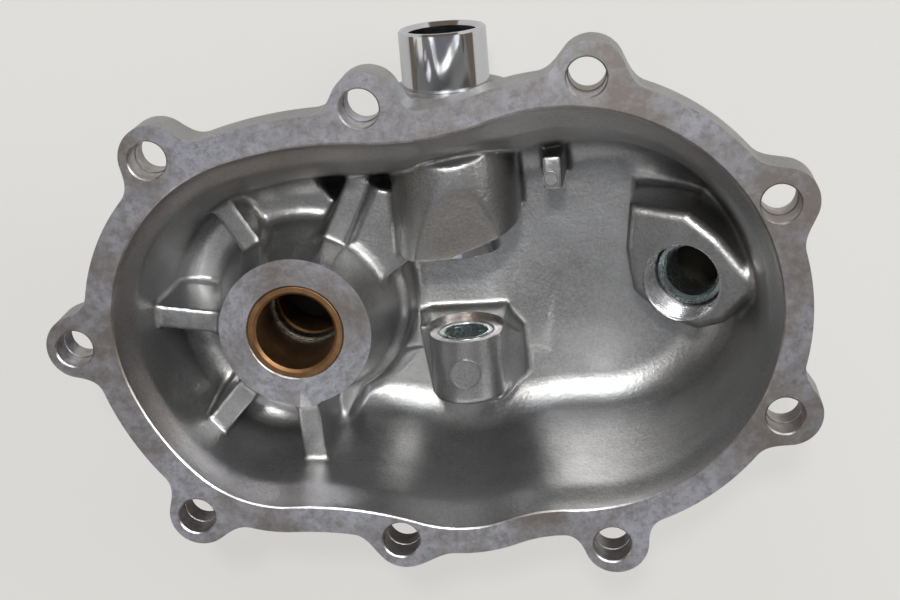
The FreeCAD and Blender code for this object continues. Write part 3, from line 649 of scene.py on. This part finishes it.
@dataclass
class Casting:
    """The die cast body with its bowl, bosses, ribs and machined faces."""

    cell: float = 0.5
    triangles: int = 185_000
    floor: float = -55.0
    left_floor: float = -44.0
    wall: float = 4.0
    seat: float = -61.0
    rim_width: float = 6.6
    rim_thickness: float = 12.0
    lug_radius: float = 7.8
    lug_shift: tuple[float, float] = (1.0, 0.4)
    hub_radius: float = 21.0
    seat_pad: Point = (69.3, 2.2, 22.0)
    tube_hub_end: float = 57.0
    port_hub: tuple[float, float] = (12.5, 22.0)
    boss_face: float = -22.0
    boss_top: float = -21.4
    boss_radius: float = 19.25
    boss_flare: float = math.tan(math.radians(12.0))
    pad_places: tuple[tuple[float, float, float, float], ...] = (
        (41.3, -15.5, -28.25, 3.95), (65.7, 33.4, -31.6, 2.0),
    )
    rib_half_width: float = 2.85
    rib_draft: float = 0.035
    sleeve_radius: float = 15.6
    sleeve_end: float = 15.3
    plinth_top: float = -52.9
    block_top: float = -40.6
    column_radius: float = 9.3
    column_start: float = -24.0
    post_centre: tuple[float, float] = (66.1, 34.9)
    post_half: tuple[float, float] = (2.3, 4.1)
    post_top: float = -32.0
    post_draft: float = 0.03
    depths: tuple[float, ...] = (-6.0, 0.0, 3.0, 10.0, 24.0, 40.0, 50.5, 62.0)
    insets: tuple[float, ...] = (0.0, 0.0, 0.7, 4.6, 8.0, 11.0, 12.6, 14.0)
    leans: tuple[float, ...] = (0.0, 0.0, 0.4, 2.4, 5.0, 6.5, 6.5, 6.5)
    spreads: tuple[float, ...] = (0.0, 0.0, 0.3, 1.9, 4.5, 6.0, 6.0, 6.0)
    ribs: tuple[Rib, ...] = (
        Rib(120.0, 37.5, -34.0, 2.6), Rib(63.2, 40.5, -34.0, 2.6), Rib(171.0, 38.5, -23.4),
        Rib(227.0, 36.5, -24.4), Rib(273.0, 37.6, -22.4),
    )
    plan: PlanField = field(init=False)

    def __post_init__(self) -> None:
        """Prepare the plan distances and the smoothed wall tables."""
        self.plan = PlanField(Outline(), (-66.0, -70.0), (138.0, 84.0))
        fine = np.arange(-6.0, 62.0, 0.25)
        bell = np.exp(-0.5 * (np.arange(-12, 13) * 0.25 / 1.4) ** 2)
        bell /= bell.sum()

        def smooth(values: tuple[float, ...]) -> Array:
            line = np.interp(fine, self.depths, values)
            return np.convolve(np.pad(line, 12, mode="edge"), bell, mode="valid")

        self.tables = (fine, smooth(self.insets), smooth(self.leans), smooth(self.spreads))

    def wall_field(self, x: Array, y: Array, z: Array, drop: float = 0.0) -> Array:
        """Distance to the bowl's wall.

        The plan distance to the outline, read at a place moved by the level's lean and spread,
        plus the level's inset.
        """
        fine, insets, leans, spreads = self.tables
        depth = -z - drop
        inset = np.interp(depth, fine, insets).astype(np.float32)
        lean = np.interp(depth, fine, leans).astype(np.float32)
        spread = np.interp(depth, fine, spreads).astype(np.float32)
        s = np.clip((x - 41.0) / 34.0, -1.0, 1.0)
        side = s * (1.5 - 0.5 * s * s)
        hollow = 3.0 * np.exp(-((x - 45.0) / 15.0) ** 2) * (y > 0.0)
        hollow = hollow * np.clip((depth - 5.0) / 12.0, 0.0, 1.0)
        return self.plan.at(x - spread * side, y + lean) + inset - hollow.astype(np.float32)

    def tilted(self, x: Array, y: Array, z: Array) -> tuple[Array, Array, Array]:
        """Coordinates across, along Y and up the port's axis from the mouth."""
        c, s = math.cos(PORT_TILT), math.sin(PORT_TILT)
        px, py, pz = PORT_MOUTH
        return (x - px) * c + (z - pz) * s, y - py, (z - pz) * c - (x - px) * s

    def bead(self, x: Array, y: Array, z: Array, radius: float) -> Array:
        """A round bar on the cross shaft's axis with upright sides below it."""
        return np.hypot(x - SHAFT[0], np.maximum(z - SHAFT[1], 0.0)) - radius + 0 * y

    def outside(self, x: Array, y: Array, z: Array) -> Array:
        """Outer form: rim with lugs, bowl, hub, seat pad, tube hub and port hub."""
        rim = self.plan.at(x, y) - self.rim_width
        shift_x, shift_y = self.lug_shift
        for hole_x, hole_y in LUG_HOLES:
            lug = np.hypot(x - hole_x - shift_x, y - hole_y - shift_y) - self.lug_radius
            rim = join_round(rim, lug, 5.0)
        rim = meet_round(rim + 0.012 * -z, -self.rim_thickness - z, 1.0)
        rim = np.maximum(rim, z - 1.5)
        bowl = self.wall_field(x, y, z, self.wall) - self.wall
        bowl = meet_round(bowl, -59.0 - z, 11.0)
        bowl = np.maximum(bowl, z + 3.0)
        form = join_round(rim, bowl, 3.0)
        radius = np.hypot(x, y)
        hub = meet_round(radius - self.hub_radius - 0.03 * (z - self.seat), self.seat - z, 0.8)
        form = join_round(form, np.maximum(hub, z + 44.0), 4.0)
        pad_x, pad_y, pad_radius = self.seat_pad
        pad = meet_round(np.hypot(x - pad_x, y - pad_y) - pad_radius, self.seat - z, 0.6)
        form = join_round(form, np.maximum(pad, z + 55.0), 2.0)
        tube_hub = np.hypot(x - SHAFT[0], z - SHAFT[1]) - self.sleeve_radius
        tube_hub = meet_round(tube_hub, y - self.tube_hub_end, 1.0)
        form = join_round(form, np.maximum(tube_hub, 34.0 - y), 4.0)
        u, v, w = self.tilted(x, y, z)
        port_radius, port_length = self.port_hub
        port_hub = meet_round(np.hypot(u, v) - port_radius, -port_length - w, 0.8)
        form = join_round(form, np.maximum(port_hub, w + 12.0), 3.0)
        return np.maximum(form, self.seat - z)

    def features(self) -> list[Feature]:
        """Solids that stand in the bowl: a distance rule, its box and its fillet radius."""

        def left_floor(x: Array, y: Array, z: Array) -> Array:
            reach = 26.5 + 18.0 * np.clip((12.0 - x) / 16.0, 0.0, 1.0)
            side = np.hypot(x, y) - reach + 0.10 * (z - self.left_floor)
            return meet_round(side, z - self.left_floor, 1.6)

        def boss(x: Array, y: Array, z: Array) -> Array:
            side = np.hypot(x, y) - self.boss_radius - self.boss_flare * (self.boss_face - z)
            return meet_round(side * 0.978, z - self.boss_top, 0.3)

        def web(x: Array, y: Array, z: Array) -> Array:
            corners = [(30.0, 30.0), (17.0, 34.0), (6.0, 20.0), (18.0, 6.0), (30.0, 14.0)]
            return meet_round(prism(x, y, corners), z + 36.0, 1.0)

        def sleeve(x: Array, y: Array, z: Array) -> Array:
            end = self.sleeve_end
            form = meet_round(self.bead(x, y, z, self.sleeve_radius), end - y, 0.5)
            skew = (0.40 * (x - 40.0) - (y - end)) / 1.077 + 0 * z
            form = meet_round(form, skew, 0.5)
            facet = (z + 26.8 - 0.27 * (y - 16.6) + 0.12 * (x - 38.0)) / 1.043
            form = meet_round(form, facet, 0.4)
            back = (y - 39.8 + 0.8 * (z + 22.4)) / 1.281 + 0 * x
            return meet_round(form, back, 0.5)

        def plinth(x: Array, y: Array, z: Array) -> Array:
            corners = [(12.0, -15.6), (60.5, -18.2), (66.0, 14.0), (40.0, 22.0), (12.0, 22.0)]
            top = z - self.plinth_top + 0.15 * np.maximum(x - 46.0, 0.0)
            top = top + 0.11 * np.maximum(y + 4.0, 0.0)
            return meet_round(prism(x, y, corners), top, 1.0)

        def block(x: Array, y: Array, z: Array) -> Array:
            corners = [(30.8, -25.5), (45.0, -28.0), (50.9, -27.3), (54.3, -23.9), (54.3, -11.8),
                       (50.0, -6.2), (28.6, -6.2), (29.6, -14.0)]
            form = meet_round(prism(x, y, corners) + 0.05 * (z + 43.0), z - self.block_top, 0.7)
            facet = 0.82 * (x - 48.6) + 0.57 * (z + 40.0) + 0 * y
            return meet_round(form, facet, 0.7)

        def column(x: Array, y: Array, z: Array) -> Array:
            end = self.column_start - y + 0.05 * (z + 28.7)
            form = meet_round(self.bead(x, y, z, self.column_radius), end, 1.4)
            return np.maximum(form, y + 6.0)

        def post(x: Array, y: Array, z: Array) -> Array:
            draft = self.post_draft * (z - self.post_top)
            across = np.abs(x - self.post_centre[0]) - self.post_half[0] + draft
            lengthwise = np.abs(y - self.post_centre[1]) - self.post_half[1] + draft
            return meet_round(meet_round(across, lengthwise, 0.6), z - self.post_top, 0.6)

        def port_boss(x: Array, y: Array, z: Array) -> Array:
            u, v, w = self.tilted(x, y, z)
            corners = [(-13.0, -3.0), (-6.0, -9.5), (3.0, -12.5), (10.0, -10.5), (19.0, -1.5),
                       (18.5, 1.5), (9.5, 12.0), (2.0, 18.0), (-13.0, 20.0), (-14.5, 8.0)]
            return meet_round(prism(u, v, corners) + 0.10 * w, w, 2.4)

        return [
            (left_floor, (-50, -50, -58), (50, 50, -38), 5.0),
            (boss, (-32, -32, -58), (32, 32, -20), 3.0),
            *(self.rib_rule(rib) for rib in self.ribs),
            (web, (0, 0, -58), (36, 40, -32), 3.0),
            (sleeve, (20, 10, -58), (63, 58, -19), 1.6),
            (plinth, (6, -22, -58), (72, 30, -48), 2.0),
            (block, (23, -35, -58), (63, 0, -37), 2.2),
            (column, (27, -30, -58), (56, -3, -25), 1.8),
            (post, (59, 27, -58), (74, 44, -28), 1.6),
            (port_boss, (74, -18, -58), (122, 32, -28), 2.5),
        ]

    def rib_rule(self, rib: Rib) -> Feature:
        """A rib's distance rule: a drafted slab along its ray with a ramp up to the boss."""
        c, s = math.cos(math.radians(rib.angle)), math.sin(math.radians(rib.angle))

        def rule(x: Array, y: Array, z: Array) -> Array:
            along, across = x * c + y * s, np.abs(y * c - x * s)
            top = np.full_like(along, rib.top)
            if rib.ramp:
                rise = np.clip((19.6 + rib.ramp - along) / rib.ramp, 0.0, 1.0)
                top = rib.top + rise * (-24.5 - rib.top)
            side = across - self.rib_half_width + self.rib_draft * (z - rib.top)
            slab = meet_round(side, z - top, 0.7)
            return meet_round(slab, along - rib.reach, 1.0)

        tip = (c * rib.reach, s * rib.reach)
        low = (min(0.0, tip[0]) - 9.0, min(0.0, tip[1]) - 9.0, -50.0)
        high = (max(0.0, tip[0]) + 9.0, max(0.0, tip[1]) + 9.0, -18.0)
        return rule, low, high, 1.8

    def pads(self) -> None:
        """The two round pads that the ejector pins leave proud, each with a raised edge."""
        sheets = []
        for px, py, top, radius in self.pad_places:
            profile = [(0.0, top - 2.0), (radius, top - 2.0), (radius, top),
                       (radius - 0.25, top), (radius - 0.45, top - 0.3), (0.0, top - 0.3)]
            sheets.append(lathe(profile, Axle((px, py, 0.0)), 64))
        made = new_object("ejector_pads", merge(sheets).mesh("ejector_pads"))
        finish_object(made, (Finish.CAST.material(),), "casing")

    def cast_form(self) -> Sheet:
        """The raw casting's surface: the outer form less the bowl, the bowl less its bosses."""
        volume = Volume((-58.5, -60.5, -62.4), (130.5, 76.0, 2.4), self.cell)
        void = Volume((-58.5, -60.5, -62.4), (130.5, 76.0, 2.4), self.cell)
        for start in range(0, volume.values.shape[2], 12):
            window = (slice(None), slice(None), slice(start, start + 12))
            x, y, z = volume.coordinates(window)
            volume.values[window] = self.outside(x, y, z)
            wall = self.wall_field(x, y, z)
            void.values[window] = meet_round(wall, self.floor - z, 9.0)
        for rule, low, high, fillet in self.features():
            window = void.window(low, high)
            x, y, z = void.coordinates(window)
            void.values[window] = meet_round(void.values[window], -rule(x, y, z), fillet)
        volume.values = np.maximum(volume.values, -void.values)
        return volume.surface()

    def slab_cutter(self) -> Sheet:
        """Everything above the joint face, with the small chamfer along the bowl's edge.

        Three rings follow the outline: a narrow one below the face, one at the face, and a
        wide circle at the face, closed by a lid above.
        """
        points, normals = Outline(spacing=0.6).sample()
        count = len(points)
        centre = np.array([37.0, 6.0])
        ray = points - centre
        ray /= np.linalg.norm(ray, axis=1)[:, None]
        rings = [
            np.column_stack([points - 0.9 * normals, np.full(count, -1.15)]),
            np.column_stack([points + 0.28 * normals, np.zeros(count)]),
            np.column_stack([centre + 160.0 * ray, np.zeros(count)]),
            np.column_stack([centre + 160.0 * ray, np.full(count, 8.0)]),
        ]
        ends = np.array([[*centre, -1.15], [*centre, 8.0]])
        places = np.concatenate(rings + [ends])
        step = np.arange(count)
        turn = (step + 1) % count
        faces = []
        for row in range(3):
            faces.append(np.stack([row * count + step, row * count + turn,
                                   (row + 1) * count + turn, (row + 1) * count + step], axis=-1))
        low, high = 4 * count, 4 * count + 1
        faces.append(np.stack([np.full(count, low), turn, step], axis=-1))
        faces.append(np.stack([np.full(count, high), 3 * count + step, 3 * count + turn], axis=-1))
        return Sheet(places, faces)

    def bore_cutters(self) -> Sheet:
        """All drilled and turned spaces as closed turned solids that keep clear of each other."""
        cutters = []
        for hole_x, hole_y in LUG_HOLES:
            cutters.append(lathe([
                (0.0, -14.0), (4.3, -14.0), (4.3, -6.5), (4.5, -6.3), (4.5, -0.35), (5.4, 0.55),
                (0.0, 0.55),
            ], Axle((hole_x, hole_y, 0.0)), 64))
        cutters.append(lathe([
            (0.0, -63.0), (12.9, -63.0), (12.0, -60.5), (12.0, -22.45), (12.45, -22.0),
            (22.0, -22.0), (22.0, -14.0), (0.0, -14.0),
        ], Axle(), 160))
        cutters.append(lathe([
            (0.0, -18.9), (7.0, -18.9), (7.0, -7.3), (7.4, -6.9), (10.2, -6.9), (10.2, 12.0),
            (10.75, 12.0), (10.75, 56.6), (11.6, 57.45), (11.6, 59.0), (0.0, 59.0),
        ], SHAFT_AXLE, 160))
        cutters.append(lathe([
            (0.0, -26.0), (9.2, -26.0), (9.2, -11.0), (10.15, -11.0), (10.15, 5.0), (0.0, 5.0),
        ], PORT_AXLE, 128))
        return merge(cutters)

    def build(self) -> None:
        """The casting, thinned to its triangle budget and then machined."""
        raw = new_object("raw_casting", self.cast_form().mesh("raw_casting"))
        raw.data.materials.append(Finish.CAST.material())
        count = 2 * len(raw.data.polygons)
        LOG.info("raw casting: %d triangles", count)
        thin = raw.modifiers.new("thin", "DECIMATE")
        thin.ratio = min(1.0, self.triangles / count)
        tools = []
        for name, sheet in (("slab", self.slab_cutter()), ("bores", self.bore_cutters())):
            tool = new_object("cutter_" + name, sheet.mesh("cutter_" + name))
            tool.data.materials.append(Finish.MILLED.material())
            cut = raw.modifiers.new(name, "BOOLEAN")
            cut.operation = "DIFFERENCE"
            cut.solver = "EXACT"
            cut.material_mode = "TRANSFER"
            cut.object = tool
            tools.append(tool)
        graph = bpy.context.evaluated_depsgraph_get()
        mesh = bpy.data.meshes.new_from_object(raw.evaluated_get(graph), depsgraph=graph)
        mesh.name = "cast_body"
        for item in (raw, *tools):
            bpy.data.objects.remove(item)
        body = new_object("cast_body", mesh)
        finish_object(body, (), "casing", 30.0)
        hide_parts("housing")


# ------------------------------------------------------------------ fitted pieces
def turned(name: str, profile: Sequence[tuple[float, float]], axle: Axle, segments: int,
           finish: Finish) -> bpy.types.Object:
    """A turned piece of the casing in one finish."""
    made = new_object(name, lathe(profile, axle, segments).mesh(name))
    finish_object(made, (finish.material(),), "casing")
    return made


def ring_profile(inner: float, outer: float, low: float, high: float, bore_chamfer: float,
                 rim_chamfer: float = 0.0) -> list[tuple[float, float]]:
    """Profile of a plain ring with chamfers on its bore and its rim."""
    points = [(inner + bore_chamfer, low), (outer - rim_chamfer, low)]
    if rim_chamfer:
        points.append((outer, low + rim_chamfer))
        points.append((outer, high - rim_chamfer))
    points += [(outer - rim_chamfer, high), (inner + bore_chamfer, high),
               (inner, high - bore_chamfer), (inner, low + bore_chamfer)]
    return points


@dataclass
class Bearings:
    """Bushes and spacer of the main bore."""

    bore: float = 12.0
    face: float = -22.0
    bush_length: float = 22.0
    ring_length: float = 4.0
    seat: float = -60.5

    def build(self) -> None:
        """Turn the three rings that are pressed into the main bore."""
        middle = self.face - self.bush_length
        lower = middle - self.ring_length
        plan = (
            ("inner_bush", ring_profile(10.0, self.bore, middle, self.face, 0.7, 0.12),
             Finish.BRONZE, "bronze", "bush_inner"),
            ("spacer", ring_profile(9.3, self.bore, lower, middle, 0.35), Finish.STEEL, "steel",
             "spacer_ring"),
            ("outer_bush", ring_profile(9.0, self.bore, self.seat, lower, 0.7), Finish.BRONZE,
             "bronze", "bush_outer"),
        )
        for name, profile, finish, slot, node in plan:
            piece = turned(name, profile, Axle(), 160, finish)
            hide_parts(node)


@dataclass
class CrossShaft:
    """Guide tube and needle bearing of the cross shaft."""

    tube_ends: tuple[float, float] = (15.5, 71.3)
    mouth: float = -6.9
    cup_length: float = 12.0

    def build(self) -> None:
        """Turn the tube and the drawn cup, and dress the bearing's cage and needles."""
        low, high = self.tube_ends
        tube_profile = [
            (9.6, low), (10.55, low), (10.75, low + 0.2), (10.75, high - 0.5), (10.25, high),
            (9.5, high), (8.5, high - 1.0), (8.5, low + 1.1),
        ]
        tube = turned("tube", tube_profile, SHAFT_AXLE, 160, Finish.ZINC)
        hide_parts("guide_tube")
        low, high = self.mouth - self.cup_length, self.mouth
        cup_profile = [
            (5.6, low), (6.7, low), (7.0, low + 0.3), (7.0, high - 0.5), (6.85, high - 0.14),
            (6.5, high), (5.75, high), (5.6, high - 0.2), (5.6, high - 0.6), (6.4, high - 0.6),
            (6.4, low + 0.6), (5.6, low + 0.6),
        ]
        cup = turned("bearing_cup", cup_profile, SHAFT_AXLE, 128, Finish.STEEL)
        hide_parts("needle_cup")
        for node in ("needle_cage", "needle_rollers"):
            dressed = bpy.data.objects[node]
            dressed.data.materials.clear()
            dressed.data.materials.append(Finish.STEEL.material())


@dataclass
class Port:
    """Threaded side port and the steel fitting at its bottom."""

    crest: float = 9.35
    root: float = 10.1
    pitch: float = 1.5
    depth: float = 9.4

    def thread(self) -> Sheet:
        """Screw thread as one sheet round the bore.

        The radius is a rounded triangle wave of the turn count, height over pitch less the
        angle in turns, between crest and root, and it widens to a cone at the mouth.
        """
        turns, rows = 192, 150
        angle = np.linspace(0.0, 2 * math.pi, turns, endpoint=False)
        height = np.linspace(-self.depth, 0.02, rows)
        phase = height[:, None] / self.pitch - angle[None, :] / (2 * math.pi)
        wave = np.abs(2.0 * (phase - np.floor(phase)) - 1.0)
        wave = np.clip((wave - 0.5) * 1.25 + 0.5, 0.0, 1.0)
        radius = self.crest + (self.root - self.crest) * wave
        cone = 10.15 + np.clip(height + 0.75, -9.0, 0.0)[:, None] * 1.0 + 0 * radius
        radius = np.where(height[:, None] > -0.75, np.maximum(radius, np.minimum(cone, 10.15)),
                          radius)
        places = PORT_AXLE.place(radius, np.broadcast_to(angle, radius.shape),
                                 np.broadcast_to(height[:, None], radius.shape))
        row, step = np.arange(rows - 1)[:, None], np.arange(turns)
        turn = (step + 1) % turns
        quads = np.stack([row * turns + step, (row + 1) * turns + step, (row + 1) * turns + turn,
                          row * turns + turn], axis=-1).reshape(-1, 4)
        return Sheet(places.reshape(-1, 3), [quads])

    def build(self) -> None:
        """The thread in the casting and the fitting below it."""
        thread = new_object("port_thread", self.thread().mesh("port_thread"))
        finish_object(thread, (Finish.CUT.material(),), "casing", 40.0)
        profile = [
            (6.7, -22.0), (9.2, -22.0), (9.2, -9.9), (8.5, -9.0), (7.5, -9.0), (6.7, -10.2),
        ]
        fitting = turned("fitting", profile, PORT_AXLE, 128, Finish.STEEL)
        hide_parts("threaded_fitting")


# ------------------------------------------------------------------ studio
@dataclass(frozen=True)
class Panel:
    """One soft rectangular lamp aimed at the part."""

    name: str
    place: Point
    size: tuple[float, float]
    power: float
    colour: Point = (1.0, 1.0, 1.0)


@dataclass(frozen=True)
class Studio:
    """Floor, lamps, sky and camera."""

    floor_height: float = -0.039
    floor_half: float = 2.5
    floor_colour: Point = (0.42, 0.415, 0.405)
    floor_glow: float = 0.74
    glow_colour: Point = (0.79, 0.78, 0.75)
    # colour of the painted shadow in the floor spots under the main bore and the port
    painted_shadow_colour: Point = (0.02, 0.018, 0.015)
    spot_edge: float = 0.003
    painted_shadow_spots: tuple[Point, ...] = ((0.0, 0.0, 0.020), (0.1025, 0.002, 0.0125))
    lens: float = 67.88
    eye: Point = (0.08629, 0.13745, 0.39346)
    aim: Point = (0.04221, 0.01408, 0.022)
    right_hint: Point = (0.144397, 0.009132, 0.022)
    panels: tuple[Panel, ...] = (
        Panel("key", (0.10, 0.60, 1.05), (0.10, 0.10), 9.5, (1.0, 0.985, 0.95)),
        Panel("top", (0.10, 0.25, 1.20), (0.50, 0.50), 1.3, (0.95, 0.97, 1.0)),
        Panel("window", (0.70, 0.62, 0.62), (0.45, 0.35), 5.0, (0.93, 0.96, 1.0)),
        Panel("north", (0.05, 0.92, 0.68), (0.45, 0.30), 4.0, (0.93, 0.96, 1.0)),
        Panel("east", (0.90, 0.30, 0.62), (0.40, 0.30), 3.0, (1.0, 0.97, 0.92)),
        Panel("south", (0.0, -0.95, 0.35), (0.80, 0.40), 1.8, (1.0, 0.90, 0.80)),
        Panel("west", (-0.90, 0.10, 0.50), (0.50, 0.50), 0.6, (1.0, 0.95, 0.88)),
        Panel("south_top", (-0.12, -0.45, 1.10), (0.70, 0.50), 0.35, (0.92, 0.96, 1.0)),
    )

    def floor(self) -> None:
        """A wide pale floor, with painted shadow in the spots that show only through the two
        bores.

        The camera sees it partly as a plain glow, so that it stays even and pale.
        """
        half, height = self.floor_half, self.floor_height
        mesh = bpy.data.meshes.new("floor")
        corners = ((-half, -half), (half, -half), (half, half), (-half, half))
        mesh.from_pydata([(x, y, height) for x, y in corners], [], [(0, 1, 2, 3)])
        ground = new_object("floor", mesh)
        paint = Shader("floor_paint")
        paint.set("Roughness", 0.9)
        paint.set("Specular IOR Level", 0.1)
        fades = []
        for spot_x, spot_y, radius in self.painted_shadow_spots:
            reach = paint.tree.nodes.new("ShaderNodeVectorMath")
            reach.operation = "DISTANCE"
            reach.inputs[1].default_value = (spot_x, spot_y, height)
            paint.link(paint.place, reach.inputs[0])
            fades.append(paint.remap(reach.outputs["Value"], radius - self.spot_edge, radius,
                                     0.0, 1.0))
        # painted shadow: inside the two spots the floor colour is near black and the camera glow
        # is off
        lit = paint.math("MULTIPLY", fades[0], fades[1])
        colour = paint.blend(lit, self.painted_shadow_colour, self.floor_colour)
        paint.link(colour, paint.surface.inputs["Base Color"])
        path = paint.tree.nodes.new("ShaderNodeLightPath")
        seen = paint.math("MULTIPLY", path.outputs["Is Camera Ray"], lit)
        glow = paint.tree.nodes.new("ShaderNodeEmission")
        glow.inputs["Color"].default_value = (*self.glow_colour, 1.0)
        mix = paint.tree.nodes.new("ShaderNodeMixShader")
        paint.link(paint.math("MULTIPLY", seen, self.floor_glow), mix.inputs["Fac"])
        paint.link(paint.surface.outputs["BSDF"], mix.inputs[1])
        paint.link(glow.outputs["Emission"], mix.inputs[2])
        output = paint.tree.nodes["Material Output"]
        paint.link(mix.outputs["Shader"], output.inputs["Surface"])
        mesh.materials.append(paint.material)

    def lamps(self) -> None:
        """Area lamps that look at the part's middle."""
        middle = Vector((0.037, 0.006, 0.0))
        for panel in self.panels:
            data = bpy.data.lights.new(panel.name, "AREA")
            data.shape = "RECTANGLE"
            data.size, data.size_y = panel.size
            data.energy = panel.power
            data.color = panel.colour
            lamp = bpy.data.objects.new(panel.name, data)
            lamp.location = panel.place
            lamp.rotation_mode = "QUATERNION"
            lamp.rotation_quaternion = (middle - lamp.location).to_track_quat("-Z", "Y")
            bpy.context.scene.collection.objects.link(lamp)

    def sky(self) -> None:
        """Room light that fades from a pale ceiling to a dim warm horizon."""
        world = bpy.data.worlds.new("room")
        bpy.context.scene.world = world
        world.use_nodes = True
        tree = world.node_tree
        background = tree.nodes["Background"]
        place = tree.nodes.new("ShaderNodeTexCoord")
        split = tree.nodes.new("ShaderNodeSeparateXYZ")
        ramp = tree.nodes.new("ShaderNodeValToRGB")
        tree.links.new(place.outputs["Generated"], split.inputs["Vector"])
        tree.links.new(split.outputs["Z"], ramp.inputs["Fac"])
        tree.links.new(ramp.outputs["Color"], background.inputs["Color"])
        stops = ramp.color_ramp.elements
        stops[0].position, stops[0].color = 0.0, (0.16, 0.125, 0.09, 1.0)
        stops[1].position, stops[1].color = 0.9, (0.17, 0.17, 0.18, 1.0)
        middle = stops.new(0.45)
        middle.color = (0.15, 0.135, 0.12, 1.0)
        background.inputs["Strength"].default_value = 1.0

    def camera(self) -> None:
        """The camera, with its right-hand side given by a point on the joint face."""
        eye, aim = Vector(self.eye), Vector(self.aim)
        forward = (aim - eye).normalized()
        side = Vector(self.right_hint) - eye
        side = (side - forward * side.dot(forward)).normalized()
        up = side.cross(forward)
        turn = Matrix((side, up, -forward)).transposed()
        data = bpy.data.cameras.new("camera")
        data.lens = self.lens
        data.clip_start, data.clip_end = 0.01, 20.0
        eye_object = bpy.data.objects.new("camera", data)
        eye_object.matrix_world = Matrix.Translation(eye) @ turn.to_4x4()
        bpy.context.scene.collection.objects.link(eye_object)
        bpy.context.scene.camera = eye_object

    def build(self) -> None:
        """Set up everything round the part."""
        bpy.context.scene.view_settings.view_transform = "Standard"
        self.floor()
        self.lamps()
        self.sky()
        self.camera()


def main() -> None:
    logging.basicConfig(level=logging.INFO, format="%(message)s")
    casting = Casting()
    casting.build()
    casting.pads()
    Bearings().build()
    CrossShaft().build()
    Port().build()
    Studio().build()


if __name__ == "__main__":
    main()
